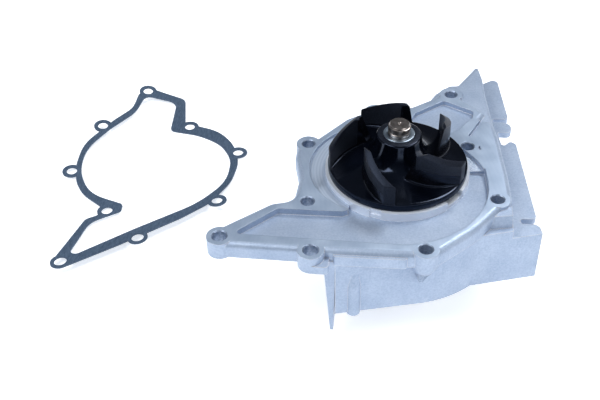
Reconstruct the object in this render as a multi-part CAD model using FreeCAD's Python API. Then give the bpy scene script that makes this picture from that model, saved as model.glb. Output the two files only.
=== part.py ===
import FreeCAD, Part
import math
import os

# Water pump of a car engine, standing on its pulley with the impeller up.
# Origin: shaft axis where it crosses the sealing face. +Z points out of the engine side.
# All sizes are millimetres.

V = FreeCAD.Vector

# Casting: sealing flange
flange_t = 9.0
floor_z = -4.0
horn_floor_z = -3.0
recess_depth = 2.0
ring_out_r = 39.4
ring_in_r = 36.6
seal_land_r = 23.0
cavity_depth = 4.5
bolt_clear_r = 3.5
bolt_wide_r = 3.8
boss_r = 6.8
hole_chamfer = 0.5

# Bolt holes: x, y and whether the hole is one of the two wide ones
bolts = {
    "a": (29.7, 74.5, False),
    "b": (-14.5, 52.8, False),
    "c": (-50.8, 17.9, False),
    "d": (-45.9, -32.2, False),
    "e": (-87.6, -63.3, True),
    "f": (-40.3, -69.3, True),
    "g": (16.8, -63.3, False),
    "h": (53.7, -21.4, False),
    "i": (38.8, 23.5, False),
}

# Casting: web, ledge tabs and skirt
web_z = -2.2
web_t = 5.0
ridge_round = 3.4
web_round = 2.5  # and of the thin web beside the horn
ledge_z = -14.0
ledge_t = 4.0
side_wall_t = 5.0
skirt_r = 60.0
skirt_t = 4.5
skirt_bottom = -45.0
fin_top_t = 6.6
fin_tip_t = 1.8
fin_bottom = -60.0
boss_out_r = 21.5
boss_bottom = -47.0
rib_t = 4.0
rib_bottom = -26.0

# Impeller
impeller_r = 37.9
rim_gap = 0.4
rim_t = 4.2
hub_r = 12.0
hub_top = 23.5
blade_count = 5
blade_tip_r = 37.6
blade_tip_z = 16.6
blade_crest_r = 24.6
blade_crest_z = 26.0
blade_lead_r = 20.4
seal_room_r = 17.5
seal_room_top = 7.4

# Shaft and bearing
shaft_r = 8.0
seal_seat_r = 7.0
nose_r = 6.0
nose_top = 30.2
nose_land = 1.0
race_r = 15.0
race_top = -15.0
race_len = 33.0
ball_r = 3.175
ball_count = 8
ball_row_inset = 7.5
groove_depth = 1.0
groove_gap = 0.03
race_bore_r = 12.2
bearing_seal_t = 1.2
seal_seat_depth = 2.0
cage_t = 1.8
cage_h = 8.4
run_gap = 0.06

# Mechanical seal
seal_bore_r = 18.0
cup_floor_z = -11.4
cup_t = 0.8
carbon_top = 1.8
carbon_h = 4.0
carbon_in_r = 9.0
carbon_out_r = 12.6
mating_h = 3.6
mating_out_r = 14.0
seal_gap = 0.05
spring_r = 14.9
spring_wire_r = 0.55
spring_turns = 4

# Pulley
drum_r = 33.0
drum_t = 3.2
drum_h = 28.0
lip_r = 35.5
lip_t = 1.6
pulley_bottom = -70.0
pulley_web_t = 3.6
pulley_hub_r = 13.0
pulley_hub_h = 17.0
pulley_hole_r = 5.0
pulley_hole_count = 5

# Weep hole and its plug
weep_z = -13.2
weep_r = 2.6

# Gasket
gasket_t = 0.8
gasket_ring_r = 6.2
gasket_turn = 37.2
gasket_x = -164.1
gasket_y = 78.7

impeller_bottom = 0.8 + rim_gap
ring_top = 0.8
race_bottom = race_top - race_len
pitch_r = shaft_r - groove_depth + ball_r
mating_bottom = carbon_top + seal_gap
bush_r = 8.4


# ---------- small helpers ----------

def disc(r, z0, z1, x=0.0, y=0.0):
    return Part.makeCylinder(r, z1 - z0, V(x, y, z0))


def tube(r_out, r_in, z0, z1):
    return disc(r_out, z0, z1).cut(disc(r_in, z0 - 1, z1 + 1))


def turned(profile):
    """Solid of revolution about Z of a closed (r, z) polygon."""
    pts = [V(r, 0, z) for r, z in profile]
    face = Part.Face(Part.makePolygon(pts + [pts[0]]))
    return face.revolve(V(0, 0, 0), V(0, 0, 1), 360)


def rounded_wire(points, z):
    """Closed wire through (x, y, corner radius) points, each corner replaced by a tangent arc."""
    n = len(points)
    ends = []
    for i in range(n):
        x, y, r = points[i]
        p = V(x, y, z)
        a = V(points[i - 1][0], points[i - 1][1], z).sub(p)
        b = V(points[(i + 1) % n][0], points[(i + 1) % n][1], z).sub(p)
        la = a.Length
        lb = b.Length
        a.normalize()
        b.normalize()
        half = a.getAngle(b) / 2
        if r <= 0 or half > 1.54:
            ends.append((p, None, p))
            continue
        cut = min(r / math.tan(half), 0.45 * la, 0.45 * lb)
        rr = cut * math.tan(half)
        mid_dir = a.add(b).normalize()
        mid = p.add(mid_dir * (rr / math.sin(half) - rr))
        ends.append((p.add(a * cut), mid, p.add(b * cut)))
    edges = []
    for i in range(n):
        start, mid, stop = ends[i]
        if mid is not None:
            edges.append(Part.Arc(start, mid, stop).toShape())
        nxt = ends[(i + 1) % n][0]
        if stop.distanceToPoint(nxt) > 1e-6:
            edges.append(Part.makeLine(stop, nxt))
    return Part.Wire(edges)


def slab(points, z0, z1):
    return Part.Face(rounded_wire(points, z0)).extrude(V(0, 0, z1 - z0))


def round_top(solid, z, radius, chosen):
    """Fillet the top edges at height z whose middle point is chosen."""
    edges = []
    for edge in solid.Edges:
        box = edge.BoundBox
        if box.ZMin > z - 1e-6 and box.ZMax < z + 1e-6 and chosen(box.Center.x, box.Center.y):
            edges.append(edge)
    return solid.makeFillet(radius, edges)


def arc_slab(pieces, z0, z1):
    """Extrude an outline of ("line", p, q) and ("arc", p, mid, q) pieces."""
    edges = []
    for piece in pieces:
        pts = [V(x, y, z0) for x, y in piece[1:]]
        if piece[0] == "line":
            edges.append(Part.makeLine(pts[0], pts[1]))
        else:
            edges.append(Part.Arc(pts[0], pts[1], pts[2]).toShape())
    return Part.Face(Part.Wire(edges)).extrude(V(0, 0, z1 - z0))


def around(shape, count, step=None):
    step = step or 360.0 / count
    out = []
    for k in range(count):
        s = shape.copy()
        s.rotate(V(0, 0, 0), V(0, 0, 1), k * step)
        out.append(s)
    return out


def polar(r, deg):
    return (r * math.cos(math.radians(deg)), r * math.sin(math.radians(deg)))


def save(name, shape):
    shape = shape.removeSplitter() if shape.ShapeType != "Compound" else shape
    shape.exportStep("parts/" + name + ".step")
    box = shape.BoundBox
    print(name, len(shape.Solids), "solids", round(shape.Volume), round(box.ZMin, 1), round(box.ZMax, 1))


# ---------- casting ----------

def flange_outline():
    """Outside of the flange, counter-clockwise from the tip of the long arm."""
    return [
        (-95.2, -61.5, 5.0),
        (-92.6, -69.2, 4.0),
        (-48.0, -69.2, 4.0),
        (-30.0, -69.0, 3.0),
        (10.0, -68.0, 3.0),
        (22.5, -66.5, 3.0),
        (42.5, -46.5, 60.0),
        (56.5, -27.0, 10.0),
        (61.6, -21.0, 3.0),
        (60.4, 0.0, 40.0),
        (56.4, 35.0, 60.0),
        (54.0, 49.0, 1.5),
        (47.0, 50.5, 1.0),
        (49.9, 57.3, 2.0),
        (37.2, 70.5, 2.5),
        (34.0, 80.0, 3.0),
        (25.0, 80.5, 4.0),
        (20.0, 71.5, 6.0),
        (6.0, 60.4, 5.0),
        (-9.0, 58.6, 4.0),
        (-18.0, 55.0, 6.0),
        (-31.5, 45.0, 12.0),
        (-46.5, 24.5, 4.0),
        (-57.2, 20.5, 4.0),
        (-57.0, 6.0, 4.0),
        (-52.6, -12.0, 20.0),
        (-53.5, -31.0, 9.0),
        (-65.0, -34.5, 8.0),
    ]


def web_outline():
    return [
        (12.0, 60.0, 0.0),
        (20.4, 78.6, 3.0),
        (28.5, 88.0, 3.0),
        (34.0, 88.8, 3.0),
        (46.8, 113.4, 1.2),
        (49.6, 98.0, 30.0),
        (51.0, 80.0, 60.0),
        (53.0, 62.0, 60.0),
        (56.9, 32.0, 0.0),
        (44.0, 32.0, 0.0),
    ]


def ledge_outline():
    """Ledge beyond the ridge with its four tabs, read downwards along the outer edge."""
    return [
        (44.0, 98.0, 0.0),
        (52.0, 109.5, 1.0),
        (57.6, 114.0, 3.0),
        (60.6, 112.0, 3.0),
        (65.4, 71.5, 2.5),
        (55.8, 70.8, 1.5),
        (56.2, 67.4, 1.5),
        (66.6, 67.4, 4.8),
        (66.6, 57.2, 4.8),
        (58.0, 57.8, 2.0),
        (60.6, 42.5, 2.0),
        (65.4, 49.0, 3.0),
        (68.6, 46.5, 3.0),
        (75.9, -19.2, 2.5),
        (66.8, -20.4, 1.5),
        (67.6, -23.8, 1.5),
        (76.8, -23.8, 5.0),
        (78.2, -31.0, 0.0),
        (60.0, -35.5, 0.0),
        (54.0, 20.0, 0.0),
    ]


def arm_pocket():
    return [
        (-81.8, -61.0, 2.0),
        (-60.8, -39.3, 4.0),
        (-27.0, -38.6, 3.0),
        (-18.0, -33.0, 0.0),
        (0.0, 0.0, 0.0),
        (-2.0, -61.4, 0.0),
    ]


def chamber_recess():
    """Turned recess round the impeller; its right side opens out into the volute."""
    return [
        ("arc", (-24.0, -37.0), (-48.3, 0.5), (-28.0, 35.0)),
        ("arc", (-28.0, 35.0), (2.0, 44.2), (31.2, 24.0)),
        ("arc", (31.2, 24.0), (44.3, 10.0), (49.2, -9.0)),
        ("arc", (49.2, -9.0), (37.0, -44.4), (6.0, -61.2)),
        ("line", (6.0, -61.2), (-24.0, -61.2)),
        ("line", (-24.0, -61.2), (-24.0, -37.0)),
    ]


def volute_pocket():
    return [
        ("line", (-24.0, -30.0), (-24.0, -61.2)),
        ("line", (-24.0, -61.2), (6.0, -61.2)),
        ("arc", (6.0, -61.2), (37.0, -44.4), (49.2, -9.0)),
        ("line", (49.2, -9.0), (48.0, 4.0)),
        ("line", (48.0, 4.0), (0.0, 0.0)),
        ("line", (0.0, 0.0), (-24.0, -30.0)),
    ]


def horn_pocket():
    return [
        (9.0, 53.5, 2.0),
        (25.5, 67.6, 3.0),
        (42.6, 58.0, 2.5),
        (42.2, 51.5, 2.5),
        (33.5, 38.0, 5.0),
        (24.0, 30.0, 0.0),
        (4.0, 40.0, 0.0),
    ]


def skirt_front():
    """Front wall, its turn round the chamber and the slanted wall to the right."""
    left = (-28.0, -69.6)
    turn = polar(skirt_r, -76.5)
    corner = polar(skirt_r, -44.4)
    right = (78.2, -31.0)
    inner_r = skirt_r - skirt_t
    in_turn = polar(inner_r, -77.0)
    in_corner = polar(inner_r, -40.0)
    return [
        ("line", left, turn),
        ("arc", turn, polar(skirt_r, -60.0), corner),
        ("line", corner, right),
        ("line", right, (77.2, -31.0 + skirt_t)),
        ("line", (77.2, -31.0 + skirt_t), in_corner),
        ("arc", in_corner, polar(inner_r, -58.0), in_turn),
        ("line", in_turn, (-28.0, -69.6 + skirt_t)),
        ("line", (-28.0, -69.6 + skirt_t), left),
    ]


def skirt_fin():
    """Upright fin that closes the left end of the skirt, tapered both ways."""
    side = [(-69.6, -7.0), (-69.2, -20.0), (-67.4, fin_bottom), (-62.0, fin_bottom),
            (-44.0, -30.0), (-36.0, -7.0)]
    pts = [V(-50.0, y, z) for y, z in side]
    across = Part.Face(Part.makePolygon(pts + [pts[0]])).extrude(V(40, 0, 0))
    right = -27.6
    front = [(right, -7.0), (right - 1.4, fin_bottom), (right - 1.4 - fin_tip_t, fin_bottom),
             (right - fin_top_t, -7.0)]
    pts = [V(x, -90.0, z) for x, z in front]
    along = Part.Face(Part.makePolygon(pts + [pts[0]])).extrude(V(0, 80, 0))
    return across.common(along)


def taper(x0, y0, r0, z0, x1, y1, r1, z1):
    """Leaning cone between two level circles."""
    low = Part.Wire(Part.makeCircle(r0, V(x0, y0, z0)))
    high = Part.Wire(Part.makeCircle(r1, V(x1, y1, z1)))
    return Part.makeLoft([low, high], True, True)


def shoulder():
    """Raised end of the slanted wall under bolt hole h, leaning inwards."""
    low = [(43.4, -40.6, 0), (62.4, -35.8, 0), (62.4, -24.0, 0), (46.0, -24.0, 0)]
    high = [(49.4, -33.6, 0), (61.4, -31.4, 2.0), (61.4, -24.0, 0), (50.0, -24.0, 0)]
    return Part.makeLoft([rounded_wire([(x, y, 0) for x, y, r in low], ledge_z - 4),
                          rounded_wire([(x, y, 0) for x, y, r in high], web_z)], True, True)


def pump_housing():
    body = slab(flange_outline(), -flange_t, 0)
    body = round_top(body, 0, ridge_round, lambda x, y: x > 53 and -19 < y < 48)
    web = slab(web_outline(), web_z - web_t, web_z)
    body = body.fuse(round_top(web, web_z, web_round, lambda x, y: x > 47.5 and 38 < y < 108))
    lip = [(-29.0, -70.3, 1.0), (8.0, -69.4, 2.0), (8.0, -60.0, 0.0), (-29.0, -60.0, 0.0)]
    body = body.fuse(slab(lip, -flange_t, -2.6))
    for x, y, wide in bolts.values():
        body = body.fuse(disc(boss_r, -flange_t - 1.0, 0, x, y))
    # pockets of the pump chamber
    body = body.cut(slab(arm_pocket(), floor_z, 1))
    body = body.cut(arc_slab(volute_pocket(), floor_z, 1))
    body = body.cut(slab(horn_pocket(), horn_floor_z, 1))
    body = body.cut(arc_slab(chamber_recess(), -recess_depth, 1))
    turned_land = disc(ring_out_r - 0.5, floor_z - 1, -recess_depth)
    body = body.fuse(turned_land)
    # raised ring under the impeller rim, with its two gaps, round a deeper cavity
    ring = tube(ring_out_r, ring_in_r, floor_z - 1, ring_top)
    for deg, wide_deg, deep in ((-104.7, 9.0, 1.2), (-36.0, 19.5, 4.0)):
        gap = Part.makeCylinder(50, 20, V(0, 0, floor_z), V(0, 0, 1), wide_deg)
        gap = gap.cut(disc(ring_out_r - deep, floor_z - 1, 30))
        gap.rotate(V(0, 0, 0), V(0, 0, 1), deg - wide_deg / 2)
        ring = ring.cut(gap)
    body = body.fuse(ring)
    body = body.cut(tube(ring_in_r - 1.0, seal_land_r, -recess_depth - cavity_depth, 5))
    # bearing boss with ribs
    body = body.fuse(turned([
        (0, -8.0), (30.0, -8.0), (30.0, -11.0), (boss_out_r + 3.0, -17.0),
        (boss_out_r, -30.0), (boss_out_r, boss_bottom), (0, boss_bottom)]))
    rib = Part.makeBox(34.0, rib_t, 20.0, V(16.0, -rib_t / 2, rib_bottom + 2))
    trim = Part.makeBox(60.0, 30.0, 40.0, V(0, -15, -40.0))
    trim.rotate(V(0, 0, 0), V(0, 1, 0), -24)
    trim.translate(V(34.0, 0, -9.0 - 22.0))
    rib = rib.cut(trim)
    for deg in (20.0, 92.0, 140.0, 212.0, 285.0, 332.0):
        one = rib.copy()
        one.rotate(V(0, 0, 0), V(0, 0, 1), deg)
        body = body.fuse(one)
    # side wall, ledge and skirt
    body = body.fuse(slab(ledge_outline(), ledge_z - ledge_t, ledge_z))
    wall = [
        (46.6, 107.0, 0), (49.4, 98.0, 0), (51.0, 80.0, 0), (53.0, 62.0, 0), (56.4, 36.0, 0),
        (60.4, 0.0, 0), (61.6, -22.0, 0), (61.8, -30.0, 0)]
    inner = [(x - side_wall_t, y - 1.5, 0) for x, y, r in reversed(wall)]
    body = body.fuse(slab(wall + inner, ledge_z - ledge_t, web_z - ridge_round))
    body = body.fuse(arc_slab(skirt_front(), skirt_bottom, -flange_t))
    keep = Part.makeBox(30.0, 30.0, 20.0, V(62.4, -45.0, ledge_z))
    body = body.cut(keep)
    body = body.fuse(skirt_fin())
    body = body.fuse(shoulder())
    # upright rib on the front wall, and the fillers under the bosses beside it
    body = body.fuse(disc(3.6, skirt_bottom - 1.2, -26.0, -18.6, -65.6))
    body = body.fuse(taper(-18.6, -65.6, 3.6, -26.0, -18.6, -63.4, 2.6, -12.0))
    gx, gy, wide = bolts["g"]
    body = body.fuse(taper(gx - 1.0, gy + 4.0, 1.2, -27.0, gx, gy, boss_r, -flange_t - 1.0))
    fx, fy, wide = bolts["f"]
    body = body.fuse(slab([(fx, fy - boss_r, 0), (fx + 9.4, fy - boss_r, 2.0), (fx + 9.4, fy + 5, 0),
                           (fx, fy + 5, 0)], -flange_t - 1.0, -5.0))
    # groove, dimple and through holes
    body = body.cut(slab([(47.4, 51.8, 0), (49.2, 50.6, 0), (41.0, 32.6, 0.8), (39.2, 33.4, 0.8)],
                         web_z, 1))
    body = body.cut(slab([(44.6, 20.6, 0.5), (46.2, 20.6, 0.5), (45.6, 24.2, 0.3), (45.0, 24.2, 0.3)],
                         -1.2, 1))
    for x, y, wide in bolts.values():
        r = bolt_wide_r if wide else bolt_clear_r
        body = body.cut(disc(r, -30, 1, x, y))
        body = body.cut(Part.makeCone(r, r + hole_chamfer + 0.2, hole_chamfer + 0.2,
                                      V(x, y, -hole_chamfer)))
    # bores of seal and bearing, weep hole
    body = body.cut(disc(seal_bore_r, cup_floor_z, 5))
    body = body.cut(disc(race_r - 2.0, -60, cup_floor_z))
    body = body.cut(disc(race_r, -60, race_top))
    weep = Part.makeCylinder(weep_r, 40, V(0, 0, weep_z), V(0.3, -1, 0))
    body = body.cut(weep)
    return body


# ---------- bearing ----------

def row_heights():
    return (race_top - ball_row_inset, race_bottom + ball_row_inset)


def bearing_outer_race():
    body = tube(race_r, race_bore_r, race_bottom, race_top)
    for z in row_heights():
        body = body.cut(Part.makeTorus(pitch_r, ball_r + groove_gap, V(0, 0, z)))
    # seats of the two seals at the ends of the bore
    body = body.cut(disc(race_bore_r + 0.5, race_top - seal_seat_depth, race_top + 1))
    body = body.cut(disc(race_bore_r + 0.5, race_bottom - 1, race_bottom + seal_seat_depth))
    return body


def ball_row(z):
    ball = Part.makeSphere(ball_r, V(pitch_r, 0, z))
    return Part.makeCompound(around(ball, ball_count))


def ball_cage(z):
    body = tube(pitch_r + cage_t / 2, pitch_r - cage_t / 2, z - cage_h / 2, z + cage_h / 2)
    pocket = Part.makeCylinder(ball_r + 0.1, 10.0, V(pitch_r - 5.0, 0, z), V(1, 0, 0))
    for hole in around(pocket, ball_count):
        body = body.cut(hole)
    return body


def bearing_seal(z0, z1):
    return tube(race_bore_r + 0.5, shaft_r + run_gap, z0, z1)


# ---------- rotor ----------

def shaft():
    body = disc(shaft_r, pulley_bottom + 1.0, race_top)
    body = body.fuse(disc(seal_seat_r, race_top - 1, seal_room_top))
    body = body.fuse(disc(nose_r, seal_room_top - 1, nose_top - nose_land))
    # chamfered nose with a shallow step and a centre mark
    body = body.fuse(turned([
        (0, nose_top - nose_land - 1), (nose_r - 0.35, nose_top - nose_land - 1),
        (nose_r - 0.35, nose_top - nose_land), (nose_r - 0.9, nose_top), (0, nose_top)]))
    body = body.cut(Part.makeCone(0, 1.1, 1.2, V(0, 0, nose_top - 1.2)))
    body = body.cut(tube(nose_r + 1, nose_r - 0.3, nose_top - 4.4, nose_top - 3.6))
    for z in row_heights():
        body = body.cut(Part.makeTorus(pitch_r, ball_r + groove_gap, V(0, 0, z)))
    chamfer = turned([(shaft_r - 1, pulley_bottom + 1), (shaft_r + 1, pulley_bottom + 1),
                      (shaft_r + 1, pulley_bottom + 3)])
    return body.cut(chamfer)


def slinger():
    z = race_top + 0.9
    return turned([(seal_seat_r, z), (11.2, z), (12.0, z + 1.0), (11.2, z + 0.8), (seal_seat_r, z + 0.8)])


def impeller():
    bottom = impeller_bottom
    rim_top = bottom + rim_t
    straight = [
        (hub_r, hub_top - 0.6), (hub_r - 0.6, hub_top), (bush_r, hub_top), (bush_r, seal_room_top),
        (seal_room_r, seal_room_top), (seal_room_r + 3.0, bottom + 1.6), (impeller_r - 5.0, bottom + 1.6),
        (impeller_r - 4.0, bottom), (impeller_r, bottom), (impeller_r, rim_top - 0.8),
        (impeller_r - 0.8, rim_top)]
    dome = [
        (impeller_r - 0.8, rim_top), (31.0, rim_top + 0.7), (25.0, rim_top + 1.9), (20.5, rim_top + 3.4),
        (17.0, rim_top + 5.4), (14.6, rim_top + 8.2), (13.0, rim_top + 12.0), (hub_r, hub_top - 0.6)]
    edges = [Part.makeLine(V(a[0], 0, a[1]), V(b[0], 0, b[1])) for a, b in zip(straight, straight[1:])]
    curve = Part.BSplineCurve()
    curve.interpolate([V(r, 0, z) for r, z in dome])
    edges.append(curve.toShape())
    body = Part.Face(Part.Wire(edges)).revolve(V(0, 0, 0), V(0, 0, 1), 360)
    plan = [
        ("arc", (-17.6, -9.6), (-15.6, -24.6), (-4.2, -38.4)),
        ("line", (-4.2, -38.4), (2.4, -38.6)),
        ("arc", (2.4, -38.6), (-12.2, -24.4), (-15.2, -9.8)),
        ("line", (-15.2, -9.8), (-17.6, -9.6)),
    ]
    column = arc_slab(plan, bottom + 2.2, blade_crest_z + 3)
    envelope = turned([
        (blade_lead_r - 2.6, bottom + 2.0), (blade_tip_r, bottom + 2.0), (blade_tip_r, blade_tip_z),
        (blade_crest_r + 0.6, blade_crest_z), (blade_crest_r - 0.8, blade_crest_z - 0.6),
        (blade_lead_r, rim_top + 4.0)])
    blade = column.common(envelope)
    for one in around(blade, blade_count):
        body = body.fuse(one)
    return body


def impeller_bush():
    return turned([
        (nose_r, seal_room_top), (bush_r, seal_room_top), (bush_r, hub_top + 0.2),
        (bush_r - 0.4, hub_top + 0.6), (nose_r + 0.5, hub_top + 0.6), (nose_r, hub_top + 0.1)])


def pulley():
    top = pulley_bottom + drum_h
    body = tube(drum_r, drum_r - drum_t, pulley_bottom, top)
    body = body.fuse(disc(drum_r - 1.0, pulley_bottom, pulley_bottom + pulley_web_t))
    body = body.fuse(disc(pulley_hub_r, pulley_bottom, pulley_bottom + pulley_hub_h))
    for z in (pulley_bottom, top - lip_t):
        body = body.fuse(tube(lip_r, drum_r - drum_t, z, z + lip_t))
    body = body.cut(disc(shaft_r, pulley_bottom - 1, top))
    mid_r = (pulley_hub_r + drum_r - drum_t) / 2
    for hole in around(disc(pulley_hole_r, pulley_bottom - 1, pulley_bottom + 10, mid_r), pulley_hole_count):
        body = body.cut(hole)
    return body


# ---------- mechanical seal ----------

def seal_cup():
    z = cup_floor_z
    return turned([
        (9.4, z), (seal_bore_r, z), (seal_bore_r, -recess_depth), (seal_bore_r - cup_t, -recess_depth),
        (seal_bore_r - cup_t, z + cup_t), (9.4, z + cup_t)])


def seal_bellows():
    z = cup_floor_z + cup_t
    top = carbon_top - carbon_h
    return turned([
        (9.6, z), (13.8, z), (13.8, z + 1.2), (11.4, z + 1.2), (11.4, z + 3.0), (13.2, z + 4.2),
        (13.2, top + 1.8), (carbon_out_r, top + 1.8), (carbon_out_r, top), (11.9, top),
        (11.9, z + 5.0), (9.9, z + 3.4), (9.6, z + 1.2)])


def seal_spring():
    """Level turns, a wire's gap apart, standing in for one coiled wire."""
    z0 = cup_floor_z + cup_t + spring_wire_r
    z1 = carbon_top - carbon_h + 1.8 - spring_wire_r
    step = (z1 - z0) / (spring_turns - 1)
    turns = []
    for k in range(spring_turns):
        turns.append(Part.makeTorus(spring_r, spring_wire_r, V(0, 0, z0 + k * step)))
    return Part.makeCompound(turns)


def carbon_ring():
    z = carbon_top - carbon_h
    return turned([
        (carbon_in_r, z), (carbon_out_r, z), (carbon_out_r, carbon_top - 0.9),
        (carbon_out_r - 0.8, carbon_top - 0.9), (carbon_out_r - 0.8, carbon_top),
        (carbon_in_r + 0.6, carbon_top), (carbon_in_r, carbon_top - 0.6)])


def mating_ring():
    return tube(mating_out_r, bush_r, mating_bottom, mating_bottom + mating_h)


def seat_rubber():
    z = mating_bottom
    return turned([
        (seal_seat_r, z + 0.4), (bush_r, z + 0.4), (bush_r, z + mating_h), (mating_out_r - 0.8, z + mating_h),
        (mating_out_r - 0.8, seal_room_top), (seal_seat_r, seal_room_top)])


def weep_plug():
    d = V(0.3, -1, 0).normalize()
    start = d * (boss_out_r - 1.0)
    stem = Part.makeCylinder(weep_r, 8.0, V(start.x, start.y, weep_z), d)
    return stem


# ---------- gasket ----------

def gasket_inside():
    """Inner outline of the gasket, counter-clockwise from the tip of the long arm."""
    return [
        (-84.6, -62.8, 3.4),
        (-38.0, -59.8, 80.0),
        (5.0, -58.6, 60.0),
        (31.0, -48.0, 45.0),
        (46.0, -26.5, 45.0),
        (48.4, -6.5, 45.0),
        (39.6, 11.6, 40.0),
        (25.0, 26.3, 4.0),
        (43.0, 53.6, 8.0),
        (26.0, 70.8, 5.0),
        (11.8, 56.6, 30.0),
        (-12.0, 47.2, 60.0),
        (-33.4, 35.6, 50.0),
        (-46.0, 16.0, 50.0),
        (-49.4, -9.0, 40.0),
        (-34.8, -31.6, 3.5),
        (-38.6, -37.8, 3.0),
        (-59.4, -37.2, 14.0),
    ]


def gasket_outside():
    """Outer outline of the gasket; the rings round its holes reach past it."""
    return [
        (-92.4, -60.6, 4.0),
        (-91.0, -69.6, 5.0),
        (-52.0, -69.2, 60.0),
        (-10.0, -66.8, 60.0),
        (12.0, -63.0, 30.0),
        (34.0, -49.6, 45.0),
        (49.6, -31.0, 45.0),
        (55.8, -10.0, 45.0),
        (53.6, 8.6, 45.0),
        (38.0, 29.0, 3.0),
        (50.0, 54.0, 6.0),
        (34.0, 75.0, 6.0),
        (22.6, 74.6, 4.0),
        (12.0, 61.6, 20.0),
        (-5.0, 55.2, 30.0),
        (-16.0, 49.6, 20.0),
        (-34.0, 40.2, 40.0),
        (-46.0, 22.6, 40.0),
        (-52.4, 6.0, 30.0),
        (-53.2, -8.0, 40.0),
        (-47.4, -27.0, 20.0),
        (-52.0, -33.6, 4.0),
        (-60.6, -32.8, 6.0),
    ]


def gasket():
    z0 = pulley_bottom
    z1 = pulley_bottom + gasket_t
    body = slab(gasket_outside(), z0, z1)
    for x, y, wide in bolts.values():
        body = body.fuse(disc(gasket_ring_r, z0, z1, x, y))
    body = body.cut(slab(gasket_inside(), z0 - 1, z1 + 1))
    for x, y, wide in bolts.values():
        body = body.cut(disc(bolt_wide_r if wide else bolt_clear_r, z0 - 1, z1 + 1, x, y))
    body.rotate(V(0, 0, 0), V(0, 0, 1), gasket_turn)
    body.translate(V(gasket_x, gasket_y, 0))
    return body


os.makedirs("parts", exist_ok=True)
save("pump_housing", pump_housing())
save("bearing_outer_race", bearing_outer_race())
for name, z in zip(("front", "rear"), row_heights()):
    save("bearing_balls_" + name, ball_row(z))
    save("ball_cage_" + name, ball_cage(z))
save("bearing_seal_front", bearing_seal(race_top - bearing_seal_t - 0.4, race_top - 0.4))
save("bearing_seal_rear", bearing_seal(race_bottom + 0.4, race_bottom + 0.4 + bearing_seal_t))
save("shaft", shaft())
save("slinger", slinger())
save("impeller", impeller())
save("impeller_bush", impeller_bush())
save("pulley", pulley())
save("seal_cup", seal_cup())
save("seal_bellows", seal_bellows())
save("seal_spring", seal_spring())
save("carbon_ring", carbon_ring())
save("mating_ring", mating_ring())
save("seat_rubber", seat_rubber())
save("weep_plug", weep_plug())
save("gasket", gasket())
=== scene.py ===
import math
import bmesh
import bpy
import numpy as np
from mathutils import Matrix, Vector


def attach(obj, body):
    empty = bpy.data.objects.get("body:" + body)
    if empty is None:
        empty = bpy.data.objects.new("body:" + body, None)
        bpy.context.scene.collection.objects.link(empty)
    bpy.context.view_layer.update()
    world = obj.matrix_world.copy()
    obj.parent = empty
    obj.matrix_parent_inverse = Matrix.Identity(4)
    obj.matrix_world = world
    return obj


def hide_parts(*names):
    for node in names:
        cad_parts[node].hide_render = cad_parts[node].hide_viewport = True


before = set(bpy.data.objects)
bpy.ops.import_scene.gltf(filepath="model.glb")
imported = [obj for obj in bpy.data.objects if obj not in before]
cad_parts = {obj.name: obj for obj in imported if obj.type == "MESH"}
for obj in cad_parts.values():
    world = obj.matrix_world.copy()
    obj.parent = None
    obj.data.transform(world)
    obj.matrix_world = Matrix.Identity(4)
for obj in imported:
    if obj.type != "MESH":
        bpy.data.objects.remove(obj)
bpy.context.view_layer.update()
scene = bpy.context.scene
mm = 0.001
print("frame loaded:", len(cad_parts), "nodes")


def linearColour(hexText):  # sRGB hex such as "A9BED6" to linear RGBA
    part = np.array([int(hexText[i:i + 2], 16) for i in (0, 2, 4)]) / 255.0
    lin = np.where(part <= 0.04045, part / 12.92, ((part + 0.055) / 1.055) ** 2.4)
    return (*[float(v) for v in lin], 1.0)


def addNode(tree, kind, inputs=None, **settings):
    # one node: plain values go on its sockets, sockets given as values are linked
    made = tree.nodes.new(kind)
    for key, value in settings.items():
        setattr(made, key, value)
    for key, value in (inputs or {}).items():
        if isinstance(value, bpy.types.NodeSocket):
            tree.links.new(value, made.inputs[key])
        else:
            made.inputs[key].default_value = value
    return made


def newMaterial(name):
    made = bpy.data.materials.new(name)
    made.use_nodes = True
    made.node_tree.nodes.clear()
    return made, made.node_tree


def finishShader(tree, shaderInputs):
    shader = addNode(tree, "ShaderNodeBsdfPrincipled", shaderInputs)
    addNode(tree, "ShaderNodeOutputMaterial", {"Surface": shader.outputs["BSDF"]})
    return shader


def softEdge(tree, radiusMm):
    # normals rounded over sharp edges, and how much of an edge a spot is (0 flat, 1 on the edge)
    rounded = addNode(tree, "ShaderNodeBevel", {"Radius": radiusMm * mm}, samples=6)
    flat = addNode(tree, "ShaderNodeNewGeometry")
    along = addNode(tree, "ShaderNodeVectorMath", {
        0: rounded.outputs["Normal"], 1: flat.outputs["Normal"]}, operation="DOT_PRODUCT")
    return rounded.outputs["Normal"], spread(tree, along.outputs["Value"], 0.995, 0.86, 0.0, 1.0)


def noiseAt(tree, vector, sizeMm, detail=2.0, rough=0.5):
    # noise whose blotches are about sizeMm across on the real part
    return addNode(tree, "ShaderNodeTexNoise", {
        "Vector": vector, "Scale": 1000.0 / sizeMm, "Detail": detail, "Roughness": rough})


def waveScale(periodMm):  # a wave texture repeats every 2 pi / 20 of its own unit
    return 1000.0 * 2 * math.pi / (20 * periodMm)


def ramp(tree, factor, stops, mode="LINEAR"):
    # colour ramp from a list of (place, hex colour)
    made = addNode(tree, "ShaderNodeValToRGB", {"Fac": factor})
    made.color_ramp.interpolation = mode
    points = made.color_ramp.elements
    for k, (place, colour) in enumerate(stops):
        point = points[k] if k < 2 else points.new(place)
        point.position = place
        point.color = linearColour(colour)
    return made


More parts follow.
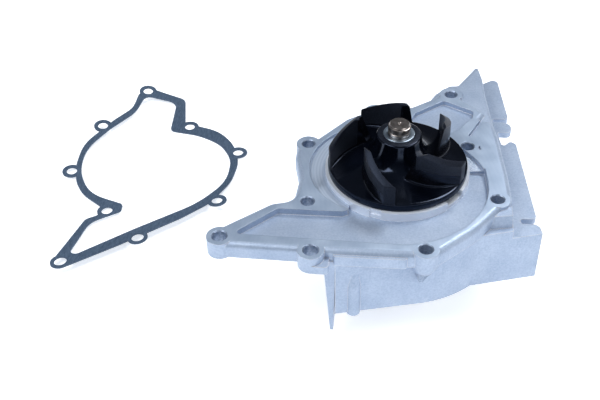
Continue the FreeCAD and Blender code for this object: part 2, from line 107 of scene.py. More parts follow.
def mixColour(tree, factor, a, b, blend="MIX"):
    made = addNode(tree, "ShaderNodeMix", data_type="RGBA", blend_type=blend)
    for index, value in ((0, factor), (6, a), (7, b)):
        if isinstance(value, bpy.types.NodeSocket):
            tree.links.new(value, made.inputs[index])
        else:
            made.inputs[index].default_value = value
    return made.outputs[2]


def maths(tree, operation, a, b=0.5, clamp=False):
    made = addNode(tree, "ShaderNodeMath", {0: a, 1: b}, operation=operation)
    made.use_clamp = clamp
    return made.outputs[0]


def spread(tree, value, low, high, outLow, outHigh):
    made = addNode(tree, "ShaderNodeMapRange", {
        "Value": value, "From Min": low, "From Max": high, "To Min": outLow, "To Max": outHigh})
    return made.outputs["Result"]


def meshFromArrays(name, points, faces, materials, faceMaterial=None):
    mesh = bpy.data.meshes.new(name)
    mesh.from_pydata(points.tolist(), [], faces.tolist())
    for material in materials:
        mesh.materials.append(material)
    if faceMaterial is not None:
        mesh.polygons.foreach_set("material_index", faceMaterial.astype(np.int32))
    mesh.shade_smooth()
    piece = bpy.data.objects.new(name, mesh)
    scene.collection.objects.link(piece)
    return piece


def gridFaces(rows, columns, closeRows, closeColumns):
    # quads between neighbouring rows and columns, wrapping where a direction is closed
    i = np.arange(rows if closeRows else rows - 1)
    j = np.arange(columns if closeColumns else columns - 1)
    i, j = np.meshgrid(i, j, indexing="ij")
    nextI = (i + 1) % rows
    nextJ = (j + 1) % columns
    here = i * columns
    there = nextI * columns
    quads = np.stack([here + j, there + j, there + nextJ, here + nextJ], -1)
    return quads.reshape(-1, 4)


def turnedGrid(profile, steps):
    # each (r, z) of the profile swept round Z: x = r cos a, y = r sin a
    profile = np.asarray(profile, float)
    angle = np.linspace(0, 2 * np.pi, steps, endpoint=False)[:, None]
    r = profile[None, :, 0]
    x = r * np.cos(angle)
    y = r * np.sin(angle)
    z = np.broadcast_to(profile[None, :, 1], x.shape)
    return np.stack([x, y, z], -1)


def roundedProfile(corners, segments=4):
    # closed (r, z) outline whose corners (r, z, radius) are replaced by tangent curves:
    # a quadratic blend from one tangent point to the other, weighted by the corner itself
    c = np.asarray(corners, float)
    p = c[:, :2]
    before = np.roll(p, 1, 0) - p
    after = np.roll(p, -1, 0) - p
    lengthBefore = np.linalg.norm(before, axis=1, keepdims=True)
    lengthAfter = np.linalg.norm(after, axis=1, keepdims=True)
    cut = np.minimum(c[:, 2:3], 0.45 * np.minimum(lengthBefore, lengthAfter))
    start = p + before / lengthBefore * cut
    stop = p + after / lengthAfter * cut
    t = np.linspace(0, 1, segments + 1)[None, :, None]
    curve = (1 - t) ** 2 * start[:, None] + 2 * t * (1 - t) * p[:, None] + t ** 2 * stop[:, None]
    return curve.reshape(-1, 2)


def smoothLine(points, perSpan):
    # Catmull-Rom curve through the points
    p = np.asarray(points, float)
    ext = np.vstack([2 * p[0] - p[1], p, 2 * p[-1] - p[-2]])
    t = np.linspace(0, 1, perSpan, endpoint=False)[None, :, None]
    a, b, c, d = (ext[k:len(ext) - 3 + k, None] for k in range(4))
    square = (2 * a - 5 * b + 4 * c - d) * t ** 2
    cube = (3 * b - a - 3 * c + d) * t ** 3
    curve = 0.5 * (2 * b + (c - a) * t + square + cube)
    return np.vstack([curve.reshape(-1, p.shape[1]), p[-1:]])


def mergeAndFaceOut(piece):
    work = bmesh.new()
    work.from_mesh(piece.data)
    bmesh.ops.remove_doubles(work, verts=work.verts, dist=1e-6)
    bmesh.ops.recalc_face_normals(work, faces=work.faces)
    work.to_mesh(piece.data)
    work.free()


def turnedPiece(name, profile, steps, materials, faceMaterial=None, sharp=30):
    # closed solid of revolution of a closed (r, z) profile in millimetres
    grid = turnedGrid(profile, steps) * mm
    faces = gridFaces(steps, len(profile), True, True)
    indices = None if faceMaterial is None else np.tile(faceMaterial, steps)
    piece = meshFromArrays(name, grid.reshape(-1, 3), faces, materials, indices)
    mergeAndFaceOut(piece)
    piece.data.set_sharp_from_angle(angle=math.radians(sharp))
    return piece


def finishedCopy(nodeName, name, edge, materials, segments=2, sharp=30, flatten=True):
    # a CAD solid's own shape, merged, with its sharp edges broken as on the real part
    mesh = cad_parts[nodeName].data.copy()
    mesh.name = name
    work = bmesh.new()
    work.from_mesh(mesh)
    bmesh.ops.remove_doubles(work, verts=work.verts, dist=2e-6)
    if flatten:
        bmesh.ops.dissolve_limit(work, angle_limit=math.radians(0.3), verts=work.verts, edges=work.edges)
    work.to_mesh(mesh)
    work.free()
    stale = mesh.attributes.get("custom_normal")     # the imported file's flat normals
    if stale:
        mesh.attributes.remove(stale)
    mesh.materials.clear()
    for material in materials:
        mesh.materials.append(material)
    mesh.shade_smooth()
    mesh.set_sharp_from_angle(angle=math.radians(sharp))
    piece = bpy.data.objects.new(name, mesh)
    scene.collection.objects.link(piece)
    if edge:
        bevel = piece.modifiers.new("brokenEdge", "BEVEL")
        bevel.width = edge * mm
        bevel.segments = segments
        bevel.limit_method = "ANGLE"
        bevel.angle_limit = math.radians(sharp)
        bevel.use_clamp_overlap = False
        bevel.harden_normals = False
        bevel.miter_outer = "MITER_ARC"
    return piece


def place(piece, body, slot, *nodes):
    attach(piece, body)
    if nodes:
        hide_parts(*nodes)
    return piece


def castAluminium(name="castAluminium", tint="A9B9D0"):
    # die-cast aluminium, shot blasted: a pale cool grey skin with a fine grain and faint clouds
    made, tree = newMaterial(name)
    place = addNode(tree, "ShaderNodeTexCoord").outputs["Object"]
    grain = noiseAt(tree, place, 1.1, 3.0, 0.6).outputs["Fac"]   # grit marks, coarser than real
    clouds = noiseAt(tree, place, 14.0, 3.0).outputs["Fac"]         # flow marks of the melt
    pits = addNode(tree, "ShaderNodeTexVoronoi", {"Vector": place, "Scale": 1000.0 / 1.7}, feature="F1")
    tone = ramp(tree, grain, [(0.34, "93A6C0"), (0.66, "CAD6E6")]).outputs["Color"]
    tone = mixColour(tree, 0.72, tone, linearColour(tint))
    shade = ramp(tree, clouds, [(0.30, "E2E7EE"), (0.68, "FFFFFF")]).outputs["Color"]
    colour = mixColour(tree, 0.7, tone, shade, "MULTIPLY")
    rough = spread(tree, grain, 0.3, 0.7, 0.52, 0.40)
    height = maths(tree, "ADD", grain, maths(tree, "MULTIPLY", pits.outputs["Distance"], 0.35))
    rounded, edge = softEdge(tree, 0.7)
    worn = mixColour(tree, maths(tree, "MULTIPLY", edge, 0.75), colour, linearColour("E6E4E6"))
    bump = addNode(tree, "ShaderNodeBump", {
        "Height": height, "Strength": 0.24, "Distance": 0.24 * mm, "Normal": rounded})
    finishShader(tree, {
        "Base Color": worn, "Metallic": 0.42, "Roughness": rough, "Normal": bump.outputs["Normal"]})
    return made


def machinedAluminium():
    # face-milled aluminium: brighter and smoother than the skin, with wide faint cutter arcs
    made, tree = newMaterial("machinedAluminium")
    place = addNode(tree, "ShaderNodeTexCoord").outputs["Object"]
    turned = addNode(tree, "ShaderNodeMapping", {"Vector": place, "Location": (0.16, 0.05, 0)})
    arcs = addNode(tree, "ShaderNodeTexWave", {
        "Vector": turned.outputs["Vector"], "Scale": waveScale(2.4), "Distortion": 0.6,
        "Detail": 1.0}, wave_type="RINGS", rings_direction="Z")     # cutter passes 2.4 mm apart
    clouds = noiseAt(tree, place, 11.0, 3.0).outputs["Fac"]
    grit = noiseAt(tree, place, 0.8, 2.0).outputs["Fac"]
    tone = ramp(tree, clouds, [(0.30, "A5B8D1"), (0.70, "B4C5DB")]).outputs["Color"]
    lines = ramp(tree, arcs.outputs["Fac"], [(0.0, "F8FAFC"), (1.0, "FFFFFF")]).outputs["Color"]
    colour = mixColour(tree, 0.6, tone, lines, "MULTIPLY")
    rough = spread(tree, clouds, 0.3, 0.7, 0.34, 0.44)
    height = maths(tree, "ADD", maths(tree, "MULTIPLY", arcs.outputs["Fac"], 0.4), grit)
    rounded = softEdge(tree, 0.5)[0]
    bump = addNode(tree, "ShaderNodeBump", {
        "Height": height, "Strength": 0.05, "Distance": 0.06 * mm, "Normal": rounded})
    finishShader(tree, {
        "Base Color": colour, "Metallic": 0.5, "Roughness": rough, "Normal": bump.outputs["Normal"]})
    return made


def turnedAluminium():
    # aluminium faced on a lathe: bright, with rings one feed apart round the shaft
    made, tree = newMaterial("turnedAluminium")
    place = addNode(tree, "ShaderNodeTexCoord").outputs["Object"]
    rings = addNode(tree, "ShaderNodeTexWave", {
        "Vector": place, "Scale": waveScale(1.5), "Distortion": 0.25, "Detail": 2.0,
        "Detail Scale": 0.4}, wave_type="RINGS", rings_direction="Z")   # feed marks, coarser than real
    tone = ramp(tree, rings.outputs["Fac"], [(0.1, "9DB1CC"), (0.8, "BCCCE2")]).outputs["Color"]
    bump = addNode(tree, "ShaderNodeBump", {
        "Height": rings.outputs["Fac"], "Strength": 0.22, "Distance": 0.12 * mm})
    finishShader(tree, {
        "Base Color": tone, "Metallic": 0.8, "Roughness": 0.34, "Normal": bump.outputs["Normal"]})
    return made


def brightAluminium(name="brightAluminium", low="D2DAE5", high="F1F5FA", metallic=0.55):
    # freshly cut aluminium on the seal bore: nearly white in the light. The raised ring's wall takes a
    # whiter, barely metallic copy whose colour is a painted reflection of the white floor
    made, tree = newMaterial(name)
    place = addNode(tree, "ShaderNodeTexCoord").outputs["Object"]
    lines = addNode(tree, "ShaderNodeTexWave", {
        "Vector": place, "Scale": waveScale(0.9), "Distortion": 0.4}, bands_direction="Z")
    tone = ramp(tree, lines.outputs["Fac"], [(0.0, low), (1.0, high)]).outputs["Color"]
    bump = addNode(tree, "ShaderNodeBump", {
        "Height": lines.outputs["Fac"], "Strength": 0.12, "Distance": 0.08 * mm})
    finishShader(tree, {
        "Base Color": tone, "Metallic": metallic, "Roughness": 0.30,
        "Normal": bump.outputs["Normal"]})
    return made


def glossyBlackPlastic(name="glossyBlackPlastic", low="02040A", high="060912", smooth=0.11, dull=0.19):
    # phenolic moulding from a polished tool: blue-black, wet gloss, faint flow arcs round the hub
    made, tree = newMaterial(name)
    place = addNode(tree, "ShaderNodeTexCoord").outputs["Object"]
    rings = addNode(tree, "ShaderNodeTexWave", {
        "Vector": place, "Scale": waveScale(3.2), "Distortion": 1.2, "Detail": 2.0},
        wave_type="RINGS", rings_direction="Z")
    clouds = noiseAt(tree, place, 8.0, 3.0).outputs["Fac"]
    tone = ramp(tree, clouds, [(0.3, low), (0.7, high)]).outputs["Color"]
    rough = spread(tree, clouds, 0.3, 0.7, smooth, dull)
    bump = addNode(tree, "ShaderNodeBump", {
        "Height": rings.outputs["Fac"], "Strength": 0.05, "Distance": 0.10 * mm})
    finishShader(tree, {
        "Base Color": tone, "Roughness": rough, "IOR": 1.5, "Specular IOR Level": 0.45,
        "Specular Tint": linearColour("B4C8F0"),
        "Normal": bump.outputs["Normal"]})
    return made


def satinBlackPlastic():
    # the same phenolic from an eroded tool: dark satin on blade tops, tips and the hub's end
    made, tree = newMaterial("satinBlackPlastic")
    place = addNode(tree, "ShaderNodeTexCoord").outputs["Object"]
    grain = noiseAt(tree, place, 0.7, 3.0, 0.6).outputs["Fac"]      # spark-eroded texture, drawn coarse
    tone = ramp(tree, grain, [(0.3, "0A0C12"), (0.7, "1C2029")]).outputs["Color"]
    bump = addNode(tree, "ShaderNodeBump", {"Height": grain, "Strength": 0.25, "Distance": 0.12 * mm})
    finishShader(tree, {
        "Base Color": tone, "Roughness": 0.44, "IOR": 1.5, "Specular IOR Level": 0.30,
        "Specular Tint": linearColour("B4C8F0"), "Normal": bump.outputs["Normal"]})
    return made


def turnedSteel(name, low, high, rough, feedMm):
    # bar steel turned or ground: fine bands round the axis and a brownish or bright tone
    made, tree = newMaterial(name)
    place = addNode(tree, "ShaderNodeTexCoord").outputs["Object"]
    bands = addNode(tree, "ShaderNodeTexWave", {
        "Vector": place, "Scale": waveScale(feedMm), "Distortion": 0.5, "Detail": 2.0},
        bands_direction="Z")
    stain = noiseAt(tree, place, 3.0, 4.0).outputs["Fac"]
    mixed = maths(tree, "ADD", maths(tree, "MULTIPLY", bands.outputs["Fac"], 0.35),
                  maths(tree, "MULTIPLY", stain, 0.65))
    tone = ramp(tree, mixed, [(0.3, low), (0.7, high)]).outputs["Color"]
    bump = addNode(tree, "ShaderNodeBump", {
        "Height": bands.outputs["Fac"], "Strength": 0.15, "Distance": 0.05 * mm})
    finishShader(tree, {
        "Base Color": tone, "Metallic": 1.0, "Roughness": rough, "Normal": bump.outputs["Normal"]})
    return made


def platedSteel():
    # zinc-plated pulley steel: pale silver with cloudy spangle and fine turned rings
    made, tree = newMaterial("zincPlatedSteel")
    place = addNode(tree, "ShaderNodeTexCoord").outputs["Object"]
    rings = addNode(tree, "ShaderNodeTexWave", {
        "Vector": place, "Scale": waveScale(1.2), "Distortion": 0.3},
        wave_type="RINGS", rings_direction="Z")
    spangle = noiseAt(tree, place, 5.0, 4.0).outputs["Fac"]
    tone = ramp(tree, spangle, [(0.3, "A7ADB2"), (0.7, "C9CDD0")]).outputs["Color"]
    bump = addNode(tree, "ShaderNodeBump", {
        "Height": rings.outputs["Fac"], "Strength": 0.12, "Distance": 0.08 * mm})
    finishShader(tree, {
        "Base Color": tone, "Metallic": 1.0, "Roughness": spread(tree, spangle, 0.3, 0.7, 0.28, 0.42),
        "Normal": bump.outputs["Normal"]})
    return made


def plainStuff(name, low, high, metallic, rough, grainMm, strength):
    # small inner pieces: grain of the given size in two tones, with a matching fine bump
    made, tree = newMaterial(name)
    place = addNode(tree, "ShaderNodeTexCoord").outputs["Object"]
    grain = noiseAt(tree, place, grainMm, 3.0).outputs["Fac"]
    tone = ramp(tree, grain, [(0.3, low), (0.7, high)]).outputs["Color"]
    bump = addNode(tree, "ShaderNodeBump", {"Height": grain, "Strength": strength, "Distance": 0.1 * mm})
    finishShader(tree, {
        "Base Color": tone, "Metallic": metallic, "Roughness": rough, "Normal": bump.outputs["Normal"]})
    return made


def gasketSheet():
    # coated fibre gasket sheet: slate blue-grey, matt, with fine fibres pressed into the surface
    made, tree = newMaterial("gasketSheet")
    place = addNode(tree, "ShaderNodeTexCoord").outputs["Object"]
    stretched = addNode(tree, "ShaderNodeMapping", {
        "Vector": place, "Rotation": (0, 0, math.radians(33)), "Scale": (1.0, 0.25, 1.0)})
    fibres = noiseAt(tree, stretched.outputs["Vector"], 0.9, 4.0, 0.65).outputs["Fac"]
    clouds = noiseAt(tree, place, 12.0, 3.0).outputs["Fac"]
    tone = ramp(tree, fibres, [(0.30, "3C4E63"), (0.72, "5A6D84")]).outputs["Color"]
    shade = ramp(tree, clouds, [(0.3, "E2E6EA"), (0.7, "FFFFFF")]).outputs["Color"]
    colour = mixColour(tree, 0.8, tone, shade, "MULTIPLY")
    bump = addNode(tree, "ShaderNodeBump", {"Height": fibres, "Strength": 0.3, "Distance": 0.10 * mm})
    finishShader(tree, {
        "Base Color": colour, "Roughness": 0.62, "Specular IOR Level": 0.35,
        "Normal": bump.outputs["Normal"]})
    return made


def facedRecess():
    # the chamber's floor: faint lathe rings on its left, fading into raw blasted casting
    made, tree = newMaterial("facedRecess")
    place = addNode(tree, "ShaderNodeTexCoord").outputs["Object"]
    axes = addNode(tree, "ShaderNodeSeparateXYZ", {"Vector": place})
    wander = noiseAt(tree, place, 9.0, 3.0).outputs["Fac"]
    edge = maths(tree, "ADD", axes.outputs["X"], spread(tree, wander, 0.3, 0.7, -3 * mm, 3 * mm))
    cut = spread(tree, edge, -8 * mm, -26 * mm, 0.0, 1.0)
    rings = addNode(tree, "ShaderNodeTexWave", {
        "Vector": place, "Scale": waveScale(1.7), "Distortion": 0.3, "Detail": 2.0, "Detail Scale": 0.4},
        wave_type="RINGS", rings_direction="Z")
    grain = noiseAt(tree, place, 1.1, 3.0, 0.6).outputs["Fac"]
    rawTone = ramp(tree, grain, [(0.34, "9CAFC9"), (0.66, "D6E0EE")]).outputs["Color"]
    cutTone = ramp(tree, rings.outputs["Fac"], [(0.1, "AFBFD4"), (0.8, "BCCADD")]).outputs["Color"]
    colour = mixColour(tree, cut, rawTone, cutTone)
    rawHeight = maths(tree, "MULTIPLY", grain, spread(tree, cut, 0.0, 1.0, 1.0, 0.15))
    cutHeight = maths(tree, "MULTIPLY", rings.outputs["Fac"], maths(tree, "MULTIPLY", cut, 0.12))
    height = maths(tree, "ADD", rawHeight, cutHeight)
    bump = addNode(tree, "ShaderNodeBump", {"Height": height, "Strength": 0.34, "Distance": 0.28 * mm})
    finishShader(tree, {
        "Base Color": colour, "Metallic": 0.45, "Roughness": 0.44, "Normal": bump.outputs["Normal"]})
    return made


castSkin = castAluminium()
milled = machinedAluminium()
faced = turnedAluminium()
recessFloor = facedRecess()
brightCut = brightAluminium()
# painted reflection: the ring wall's near-white colour and low metallic stand in for the white floor it
# reflects
ringWallPaintedReflection = brightAluminium("turnedRingWallPaintedReflection", "DFE8F5", "F1F6FF", 0.25)
boreWall = plainStuff("drilledBore", "75859D", "A3B2C8", 0.5, 0.40, 1.2, 0.15)
glossBlack = glossyBlackPlastic()
mouldedSide = glossyBlackPlastic("mouldedBlackSide", "040509", "090A10", 0.18, 0.28)
satinBlack = satinBlackPlastic()
shaftSteel = turnedSteel("groundShaftSteel", "66605D", "A8A19D", 0.30, 0.8)
insertSteel = turnedSteel("turnedInsert", "A9BACB", "D5E2EE", 0.30, 0.6)
plated = platedSteel()
paper = gasketSheet()
print("materials made")


housingSize = {
    "ringIn": 36.6, "ringOut": 39.4, "recess": -2.0, "volute": -4.0, "sealBore": 18.0,
    "bossEnd": -47.0, "boltReach": 4.6,
    "bolts": [(29.7, 74.5), (-14.5, 52.8), (-50.8, 17.9), (-45.9, -32.2), (-87.6, -63.3),
              (-40.3, -69.3), (16.8, -63.3), (53.7, -21.4), (38.8, 23.5)],
}


def buildHousing():
    s = housingSize
    finishes = [castSkin, milled, recessFloor, brightCut, faced, boreWall, ringWallPaintedReflection]
    piece = finishedCopy("pump_housing", "castingSkin", 0, finishes, flatten=False)
    mesh = piece.data
    count = len(mesh.polygons)
    centre = np.empty(count * 3)
    normal = np.empty(count * 3)
    mesh.polygons.foreach_get("center", centre)
    mesh.polygons.foreach_get("normal", normal)
    x, y, z = (centre.reshape(-1, 3) / mm).T
    nz = normal.reshape(-1, 3)[:, 2]
    r = np.hypot(x, y)
    level = nz > 0.98
    finish = np.zeros(count, np.int32)
    finish[level & (np.abs(z) < 0.05)] = 1
    finish[level & (np.abs(z - s["recess"]) < 0.05)] = 2
    # faces of the raised ring get finish 6, whose white colour is a painted reflection of the floor
    ring = (r > s["ringIn"] - 0.3) & (r < s["ringOut"] + 0.1) & (z > s["volute"] + 0.02) & (z < 1.0)
    finish[ring & ~(level & (np.abs(z) < 0.05))] = 6
    finish[(r < s["sealBore"] + 0.2) & ~level] = 3
    finish[(nz < -0.98) & (np.abs(z - s["bossEnd"]) < 0.05)] = 4
    for bx, by in s["bolts"]:
        near = np.hypot(x - bx, y - by) < s["boltReach"]
        finish[near & (nz < 0.9) & (nz > -0.5)] = 5
    mesh.polygons.foreach_set("material_index", finish)
    return place(piece, "casing", "cast_aluminium", "pump_housing")


buildHousing()
print("casting done")


impellerSize = {
    "rimTop": 5.4, "rimRadius": 37.9, "bottom": 1.2, "hubRadius": 12.0, "hubTop": 23.5,
    "bore": 8.4, "roomRadius": 17.5, "roomTop": 7.4, "steps": 240,
    "dome": [(37.1, 5.4), (31.0, 6.1), (25.0, 7.3), (20.5, 8.8), (17.0, 10.8), (14.6, 13.6),
             (13.0, 17.4), (12.0, 22.9)],
    "bladeCount": 5, "tipRadius": 37.6,
    "outerSide": [(-17.6, -9.6), (-15.6, -24.6), (-4.2, -38.4)],
    "innerSide": [(-15.2, -9.8), (-12.2, -24.4), (2.4, -38.6)],
    "crest": [(17.8, 4.0), (20.4, 9.4), (23.8, 25.4), (25.2, 26.0), (37.6, 16.6)],
    "edgeRound": 0.45, "footRound": 1.5,
    "satinFrom": 23.6, "satinHalf": 9, "tipRows": 5,   # where blade tops and tips are satin
}


def arcThrough(a, b, c, count):
    # points evenly along the circle through a, b and c, from a to c
    a, b, c = (complex(*p) for p in (a, b, c))
    w = (c - a) / (b - a)
    centre = a + (b - a) * (w - abs(w) ** 2) / (2j * w.imag)
    turn = np.angle((c - centre) / (a - centre))
    angles = np.linspace(0, turn, count)
    points = centre + (a - centre) * np.exp(1j * angles)
    return np.stack([points.real, points.imag], -1)


def buildBlade(name, turnBy):
    # cross-sections on cylinders about the shaft: at radius r the blade lies between two plan arcs,
    # from under the disc up to the crest line, with a flared foot and rounded top edges
    s = impellerSize
    radii = np.concatenate([
        np.linspace(18.0, 20.4, 5), np.linspace(20.4, 23.8, 16)[1:], np.linspace(23.8, 25.2, 6)[1:],
        np.linspace(25.2, s["tipRadius"] - s["edgeRound"], 36)[1:]])
    tipTurn = np.linspace(0, math.pi / 2, 5)[1:]
    radii = np.concatenate([radii, s["tipRadius"] - s["edgeRound"] * (1 - np.sin(tipTurn))])
    inset = np.concatenate([np.zeros(len(radii) - 4), s["edgeRound"] * (1 - np.cos(tipTurn))])
    angleAt = {}
    for side in ("outerSide", "innerSide"):
        arc = arcThrough(*s[side], 300)
        reach = np.hypot(arc[:, 0], arc[:, 1])
        angleAt[side] = np.interp(radii, reach, np.unwrap(np.arctan2(arc[:, 1], arc[:, 0])))
    crest = np.array(s["crest"])
    dome = np.array(s["dome"])[::-1]
    disc = np.interp(radii, dome[:, 0], dome[:, 1])
    low = disc - 1.0
    top = np.maximum(np.interp(radii, crest[:, 0], crest[:, 1]), low + 0.1) - inset
    fade = np.clip((s["tipRadius"] - radii) / 4.0, 0.15, 1.0)
    foot = np.clip(np.minimum(s["footRound"] * fade, 0.4 * (top - disc)), 0.02, None)
    edge = np.clip(np.minimum(s["edgeRound"], 0.3 * (top - low)), 0.01, None)
    # one half section as (distance outside the wall, height) columns, then its mirror
    q = np.linspace(0, math.pi / 2, 6)[None, :]
    f = foot[:, None]
    e = edge[:, None]
    out = np.hstack([f, f * (1 - np.sin(q)), 0 * f, -e * (1 - np.cos(q)), -e - 0 * f])
    wall = (disc[:, None] + f + top[:, None] - e) / 2
    up = np.hstack([low[:, None], disc[:, None] + f * (1 - np.cos(q)), wall,
                    top[:, None] - e * (1 - np.sin(q)), top[:, None]])
    out = out - inset[:, None]
    r = radii[:, None]
    outer = angleAt["outerSide"][:, None] - out / r
    inner = angleAt["innerSide"][:, None] + out / r
    middle = (outer[:, -1:] + inner[:, -1:]) / 2
    angle = np.hstack([outer, middle, inner[:, ::-1]]) + turnBy
    height = np.hstack([up, top[:, None], up[:, ::-1]])
    # end caps shrink each end section to its own middle
    def capped(values, index):
        centre = (values[index].min() + values[index].max()) / 2
        share = np.array([0.5, 0.0])[:, None]
        return centre + (values[index][None, :] - centre) * share
    angle = np.vstack([capped(angle, 0)[::-1], angle, capped(angle, -1)])
    height = np.vstack([capped(height, 0)[::-1], height, capped(height, -1)])
    radius = np.concatenate([[radii[0]] * 2, radii, [radii[-1]] * 2])[:, None]
    grid = np.stack([radius * np.cos(angle), radius * np.sin(angle), height], -1) * mm
    rows, columns = angle.shape
    faces = gridFaces(rows, columns, False, True)
    row = np.repeat(np.arange(rows - 1), columns)
    column = np.tile(np.arange(columns), rows - 1)
    nearCrest = np.abs(column - (columns - 1) / 2) < s["satinHalf"]
    onTop = nearCrest & (radius[:-1, 0][row] > s["satinFrom"])
    onTip = row >= rows - s["tipRows"]
    finish = np.where(onTop | onTip, 1, 0)
    piece = meshFromArrays(name, grid.reshape(-1, 3), faces, [mouldedSide, satinBlack], finish)
    mergeAndFaceOut(piece)
    piece.data.set_sharp_from_angle(angle=math.radians(50))
    return piece


def buildImpeller():
    s = impellerSize
    dome = smoothLine(s["dome"], 10)
    lip = [(s["hubRadius"] - 0.2, s["hubTop"] - 0.2), (s["hubRadius"] - 0.6, s["hubTop"]),
           (s["bore"], s["hubTop"])]
    under = [(s["bore"], s["roomTop"]), (s["roomRadius"], s["roomTop"]), (s["roomRadius"] + 3.0, 2.8),
             (32.9, 2.8), (33.9, s["bottom"]), (s["rimRadius"] - 0.3, s["bottom"]),
             (s["rimRadius"], s["bottom"] + 0.3), (s["rimRadius"], s["rimTop"] - 0.8),
             (s["rimRadius"] - 0.24, s["rimTop"] - 0.24)]
    profile = np.vstack([dome, lip, under])
    finish = np.zeros(len(profile), np.int32)
    finish[len(dome) + 1] = 1
    disc = turnedPiece("impellerDisc", profile, s["steps"], [glossBlack, satinBlack], finish, 40)
    place(disc, "rotor", "black_plastic", "impeller")
    for k in range(s["bladeCount"]):
        blade = buildBlade("impellerBlade%d" % (k + 1), 2 * math.pi * k / s["bladeCount"])
        place(blade, "rotor", "black_plastic")


buildImpeller()
print("impeller done")


shaftSize = {
    "radius": 8.0, "seatRadius": 7.0, "noseRadius": 6.0, "noseTop": 30.2, "bottom": -69.0,
    "ballCircle": 10.175, "groove": 3.205, "rows": (-22.5, -40.5), "steps": 96,
}


def ballGroove(z):
    # the arc of a ball groove seen in the (r, z) plane, from its upper edge down
    s = shaftSize
    half = math.acos((s["ballCircle"] - s["radius"]) / s["groove"])
    t = np.linspace(half, -half, 11)
    return np.stack([s["ballCircle"] - s["groove"] * np.cos(t), z + s["groove"] * np.sin(t)], -1)


def buildShaft():
    s = shaftSize
    top = s["noseTop"]
    nose = s["noseRadius"]
    head = [(0.0, top - 1.2), (1.1, top), (nose - 0.95, top), (nose - 0.35, top - 0.9),
            (nose - 0.35, top - 1.0), (nose, top - 1.1), (nose, top - 3.6),
            (nose - 0.3, top - 3.8), (nose - 0.3, top - 4.2), (nose, top - 4.4), (nose, 7.4),
            (s["seatRadius"], 7.4), (s["seatRadius"], -15.0), (s["radius"] - 0.3, -15.0),
            (s["radius"], -15.3)]
    foot = [(s["radius"], s["bottom"] + 1.5), (s["radius"] - 1.5, s["bottom"]), (0.0, s["bottom"])]
    profile = np.vstack([head, ballGroove(s["rows"][0]), ballGroove(s["rows"][1]), foot])
    piece = turnedPiece("shaftBar", profile, s["steps"], [shaftSteel])
    return place(piece, "rotor", "shaft_steel", "shaft")


def buildInsert():
    profile = roundedProfile([
        (6.0, 7.4, 0.1), (8.4, 7.4, 0.1), (8.4, 24.1, 0.4), (6.0, 24.1, 0.5)], 5)
    piece = turnedPiece("hubInsert", profile, 96, [insertSteel])
    return place(piece, "rotor", "insert_metal", "impeller_bush")


buildShaft()
buildInsert()


gasketSize = {
    "middle": (-164.1, 78.7), "turn": 37.2, "reach": 60.0,      # its own origin and axes in the frame
    "endLift": 3.6, "twist": 1.3, "sideTilt": 1.1, "rest": 0.4,   # mm of lift, at one reach out
    "longEdge": 3.0,
}


def curlSheet(piece):
    # a loose sheet never lies flat: both ends along y rise as y squared, the sheet twists as x times y
    # and tilts along x, softened so that no point sinks below the floor
    s = gasketSize
    work = bmesh.new()
    work.from_mesh(piece.data)
    for _ in range(4):
        longOnes = [edge for edge in work.edges if edge.calc_length() > s["longEdge"] * mm]
        bmesh.ops.subdivide_edges(work, edges=longOnes, cuts=1)
        bmesh.ops.triangulate(work, faces=work.faces)
    work.to_mesh(piece.data)
    work.free()
    mesh = piece.data
    points = np.empty(len(mesh.vertices) * 3)
    mesh.vertices.foreach_get("co", points)
    points = points.reshape(-1, 3)
    turn = math.radians(s["turn"])
    away = points[:, :2] / mm - s["middle"]
    x = (away[:, 0] * math.cos(turn) + away[:, 1] * math.sin(turn)) / s["reach"]
    y = (away[:, 1] * math.cos(turn) - away[:, 0] * math.sin(turn)) / s["reach"]
    lift = s["rest"] + s["endLift"] * y ** 2 - s["twist"] * x * y - s["sideTilt"] * x
    points[:, 2] += 0.5 * (lift + np.sqrt(lift ** 2 + 0.05)) * mm
    mesh.vertices.foreach_set("co", points.ravel())
    mesh.shade_smooth()
    mesh.set_sharp_from_angle(angle=math.radians(40))


pulley = finishedCopy("pulley", "pulleyTurned", 0.4, [plated])
place(pulley, "rotor", "zinc_plated_steel", "pulley")
gasketPiece = finishedCopy("gasket", "gasketPressed", 0, [paper], flatten=False)
curlSheet(gasketPiece)
place(gasketPiece, "gasket_sheet", "gasket_paper", "gasket")

innerFinishes = {
    "bearing_outer_race": plainStuff("groundBearingSteel", "B4B8BC", "D2D5D8", 1.0, 0.22, 2.0, 0.05),
    "ball_cage_front": plainStuff("mouldedCageNylon", "B8AA84", "CDBF98", 0.0, 0.5, 1.0, 0.2),
    "bearing_seal_front": plainStuff("mouldedSealRubber", "101113", "1B1C1F", 0.0, 0.6, 0.8, 0.3),
    "seal_cup": plainStuff("drawnStainless", "B9AF8C", "D5CCAB", 1.0, 0.3, 2.5, 0.1),
    "carbon_ring": plainStuff("lappedCarbon", "15161A", "24262B", 0.1, 0.35, 0.6, 0.1),
    "mating_ring": plainStuff("lappedCeramic", "D9D4C6", "EAE6DA", 0.0, 0.2, 1.5, 0.05),
}
sameFinish = {
    "bearing_balls_front": "bearing_outer_race", "bearing_balls_rear": "bearing_outer_race",
    "ball_cage_rear": "ball_cage_front", "bearing_seal_rear": "bearing_seal_front",
    "slinger": "bearing_seal_front", "seal_bellows": "bearing_seal_front",
    "seat_rubber": "bearing_seal_front", "weep_plug": "bearing_seal_front", "seal_spring": "seal_cup",
}
for nodeName in list(innerFinishes) + list(sameFinish):
    material = innerFinishes[sameFinish.get(nodeName, nodeName)]
    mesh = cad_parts[nodeName].data
    mesh.materials.clear()
    mesh.materials.append(material)
print("inner pieces done")


stageSize = {
    "floor": -0.0701, "halfWidth": 3.0, "floorColour": "E4E7EB", "glow": 0.80,
    "lens": 57.0, "place": (0.24, -411.0, 325.9), "yaw": 7.541, "pitch": 40.43, "roll": -1.46,
}


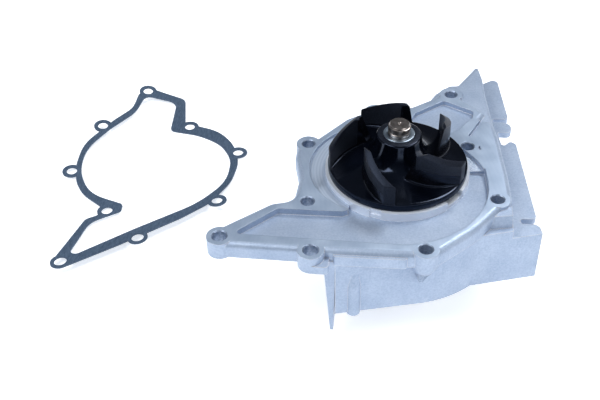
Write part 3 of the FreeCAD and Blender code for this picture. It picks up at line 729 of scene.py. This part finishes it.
def buildFloor():
    s = stageSize
    w = s["halfWidth"]
    level = s["floor"]
    corners = np.array([(-w, -w, level), (w, -w, level), (w, w, level), (-w, w, level)])
    made, tree = newMaterial("paleFloor")
    place = addNode(tree, "ShaderNodeTexCoord").outputs["Object"]
    soft = noiseAt(tree, place, 60.0, 2.0).outputs["Fac"]
    tone = ramp(tree, soft, [(0.2, s["floorColour"]), (0.8, "ECEEF1")]).outputs["Color"]
    finishShader(tree, {"Base Color": tone, "Roughness": 0.9, "Specular IOR Level": 0.0,
                        "Emission Color": tone, "Emission Strength": s["glow"]})
    floor = meshFromArrays("floorSheet", corners, np.array([[0, 1, 2, 3]]), [made])


def softBox(name, place, aimAt, width, height, power, colour="FFFFFF"):
    lamp = bpy.data.lights.new(name, "AREA")
    lamp.shape = "RECTANGLE"
    lamp.size = width
    lamp.size_y = height
    lamp.energy = power
    lamp.color = linearColour(colour)[:3]
    holder = bpy.data.objects.new(name, lamp)
    scene.collection.objects.link(holder)
    toward = Vector(aimAt) - Vector(place)
    holder.rotation_euler = toward.to_track_quat("-Z", "Y").to_euler()
    holder.location = place


def buildWorld():
    world = bpy.data.worlds.new("studio")
    scene.world = world
    world.use_nodes = True
    tree = world.node_tree
    tree.nodes.clear()
    ray = addNode(tree, "ShaderNodeTexCoord").outputs["Generated"]
    up = addNode(tree, "ShaderNodeSeparateXYZ", {"Vector": ray}).outputs["Z"]
    tone = ramp(tree, up, [(0.0, "B9BEC6"), (0.08, "8A9098"), (0.26, "3A3E45"), (1.0, "6A6E75")])
    back = addNode(tree, "ShaderNodeBackground", {"Color": tone.outputs["Color"], "Strength": 1.0})
    addNode(tree, "ShaderNodeOutputWorld", {"Surface": back.outputs["Background"]})


def buildCamera():
    s = stageSize
    data = bpy.data.cameras.new("productCamera")
    data.lens = s["lens"]
    data.sensor_width = 36.0
    data.clip_start = 0.01
    camera = bpy.data.objects.new("productCamera", data)
    scene.collection.objects.link(camera)
    turn = (Matrix.Rotation(math.radians(s["yaw"]), 4, "Z")
            @ Matrix.Rotation(math.radians(90 - s["pitch"]), 4, "X")
            @ Matrix.Rotation(math.radians(s["roll"]), 4, "Z"))
    camera.matrix_world = Matrix.Translation([v * mm for v in s["place"]]) @ turn
    scene.camera = camera


buildFloor()
buildWorld()
softBox("keyLeft", (-0.55, -0.35, 0.85), (0, 0, 0), 0.7, 0.5, 7.6)
softBox("fillRight", (0.75, -0.45, 0.65), (0, 0, 0), 0.5, 0.5, 3.6)
softBox("rearTop", (0.40, 0.50, 0.90), (0, 0, 0), 0.50, 0.30, 6.0)
buildCamera()
scene.view_settings.view_transform = "Standard"
print("stage done")
